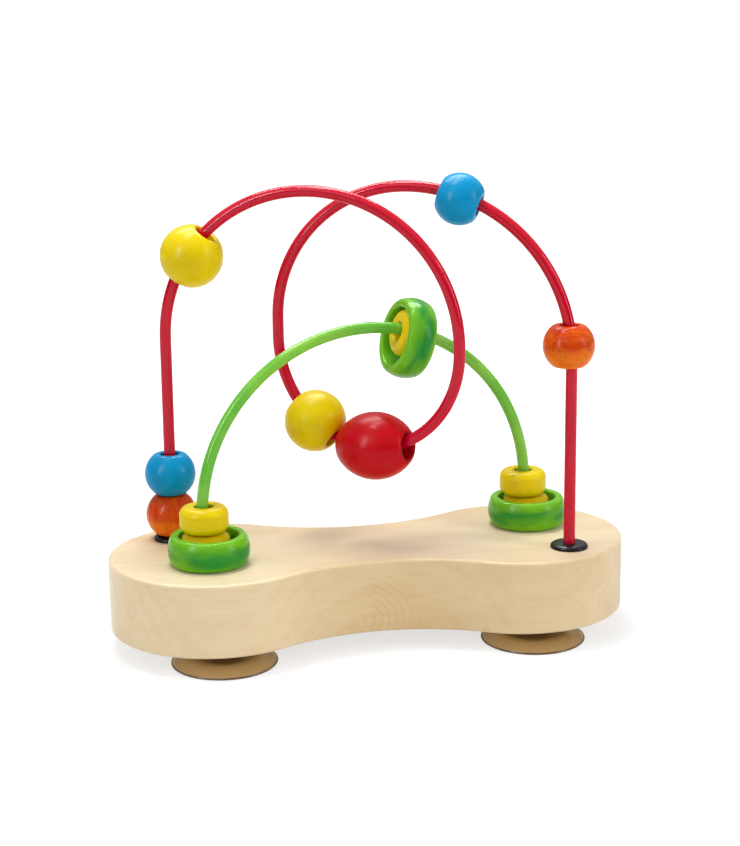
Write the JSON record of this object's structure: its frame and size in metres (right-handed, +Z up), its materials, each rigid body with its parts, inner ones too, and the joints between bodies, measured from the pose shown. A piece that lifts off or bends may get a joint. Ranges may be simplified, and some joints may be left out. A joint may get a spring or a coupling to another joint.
{
  "type": "bead maze",
  "caption": "Toddler's bead maze: a peanut-shaped wooden base on suction cups carries two bent, coated wires along which loose wooden beads and rings slide.",
  "frame": {"origin": "on the table, under the middle of the base: the plane of the four cups' rims", "axes": "+X along the base's length, +Y from front to back, +Z up"},
  "size_m": [0.25, 0.106, 0.222],
  "materials": {
    "pale_wood": "sanded and clear sealed",
    "cup_rubber": "amber, translucent",
    "steel": "zinc plated",
    "red_sleeve": "glossy coating",
    "green_sleeve": "glossy coating",
    "collar_black": "moulded, glossy",
    "orange_lacquer": "stained, clear lacquer",
    "blue_lacquer": "glossy lacquer",
    "yellow_lacquer": "glossy lacquer",
    "red_lacquer": "glossy lacquer",
    "green_lacquer": "glossy lacquer"
  },
  "bodies": {
    "stand": {"base": "pale_wood", "suction_cup_front_left": "cup_rubber", "suction_cup_front_right": "cup_rubber", "suction_cup_back_left": "cup_rubber", "suction_cup_back_right": "cup_rubber", "cup_screws": "steel", "cup_washers": "steel", "red_wire_core": "steel", "red_wire_sleeve": "red_sleeve", "green_wire_core": "steel", "green_wire_sleeve": "green_sleeve", "red_collar_left": "collar_black", "red_collar_right": "collar_black", "green_collar_left": "collar_black", "green_collar_right": "collar_black", "wire_washers": "steel", "wire_nuts": "steel"},
    "orange_bead_left": {"orange_bead_left": "orange_lacquer"},
    "blue_bead_left": {"blue_bead_left": "blue_lacquer"},
    "yellow_bead_arch": {"yellow_bead_arch": "yellow_lacquer"},
    "red_bead_loop": {"red_bead_loop": "red_lacquer"},
    "yellow_bead_loop": {"yellow_bead_loop": "yellow_lacquer"},
    "blue_bead_arch": {"blue_bead_arch": "blue_lacquer"},
    "orange_bead_right": {"orange_bead_right": "orange_lacquer"},
    "green_ring_left": {"green_ring_left": "green_lacquer"},
    "yellow_hub_left": {"yellow_hub_left": "yellow_lacquer"},
    "yellow_cap_left": {"yellow_cap_left": "yellow_lacquer"},
    "green_ring_right": {"green_ring_right": "green_lacquer"},
    "yellow_hub_right": {"yellow_hub_right": "yellow_lacquer"},
    "yellow_cap_right": {"yellow_cap_right": "yellow_lacquer"},
    "green_ring_top": {"green_ring_top": "green_lacquer"},
    "yellow_hub_top": {"yellow_hub_top": "yellow_lacquer"}
  },
  "joints": [
    {"name": "orange_left_slide", "type": "slide", "parent": "stand", "child": "orange_bead_left", "axis": [0, 0, 1], "range_m": [0, 0.026]},
    {"name": "blue_left_slide", "type": "slide", "parent": "orange_bead_left", "child": "blue_bead_left", "axis": [0, 0, 1], "range_m": [0, 0.028]},
    {"name": "yellow_arch_slide", "type": "hinge", "parent": "stand", "child": "yellow_bead_arch", "pos_m": [-0.02746, -0.00215, 0.14397], "axis": [0.429, 0.9033, 0], "range_deg": [-23, 122]},
    {"name": "blue_arch_slide", "type": "hinge", "parent": "stand", "child": "blue_bead_arch", "pos_m": [0.02109, 0.00518, 0.13686], "axis": [0.429, 0.9033, 0], "range_deg": [-24, 46]},
    {"name": "orange_right_slide", "type": "slide", "parent": "stand", "child": "orange_bead_right", "axis": [0, 0, -1], "range_m": [0, 0.085]},
    {"name": "red_loop_slide", "type": "hinge", "parent": "stand", "child": "red_bead_loop", "pos_m": [0, 0, 0.14197], "axis": [-0.6626, -0.749, 0], "range_deg": [-18, 60]},
    {"name": "yellow_loop_slide", "type": "hinge", "parent": "red_bead_loop", "child": "yellow_bead_loop", "pos_m": [0, 0, 0.14197], "axis": [0.6626, 0.749, 0], "range_deg": [0, 25]},
    {"name": "hub_top_slide", "type": "hinge", "parent": "stand", "child": "yellow_hub_top", "pos_m": [0, 0, 0.067], "axis": [-0.181, 0.9835, 0], "range_deg": [-35, 30]},
    {"name": "ring_top_spin", "type": "hinge", "parent": "yellow_hub_top", "child": "green_ring_top", "pos_m": [0.02082, 0.00383, 0.14334], "axis": [-0.9477, -0.1744, 0.2672], "continuous": true},
    {"name": "ring_left_lift", "type": "slide", "parent": "stand", "child": "green_ring_left", "axis": [0, 0, 1], "range_m": [0, 0.035]},
    {"name": "ring_right_lift", "type": "slide", "parent": "stand", "child": "green_ring_right", "axis": [0, 0, 1], "range_m": [0, 0.035]},
    {"name": "hub_left_spin", "type": "hinge", "parent": "stand", "child": "yellow_hub_left", "pos_m": [-0.08027, -0.015, 0.05345], "axis": [0, 0, 1], "continuous": true},
    {"name": "hub_right_spin", "type": "hinge", "parent": "stand", "child": "yellow_hub_right", "pos_m": [0.08273, 0.015, 0.05345], "axis": [0, 0, 1], "continuous": true},
    {"name": "cap_left_slide", "type": "hinge", "parent": "stand", "child": "yellow_cap_left", "pos_m": [0, 0, 0.067], "axis": [-0.181, 0.9835, 0], "range_deg": [0, 55]},
    {"name": "cap_right_slide", "type": "hinge", "parent": "stand", "child": "yellow_cap_right", "pos_m": [0, 0, 0.067], "axis": [0.181, -0.9835, 0], "range_deg": [0, 31]}
  ]
}
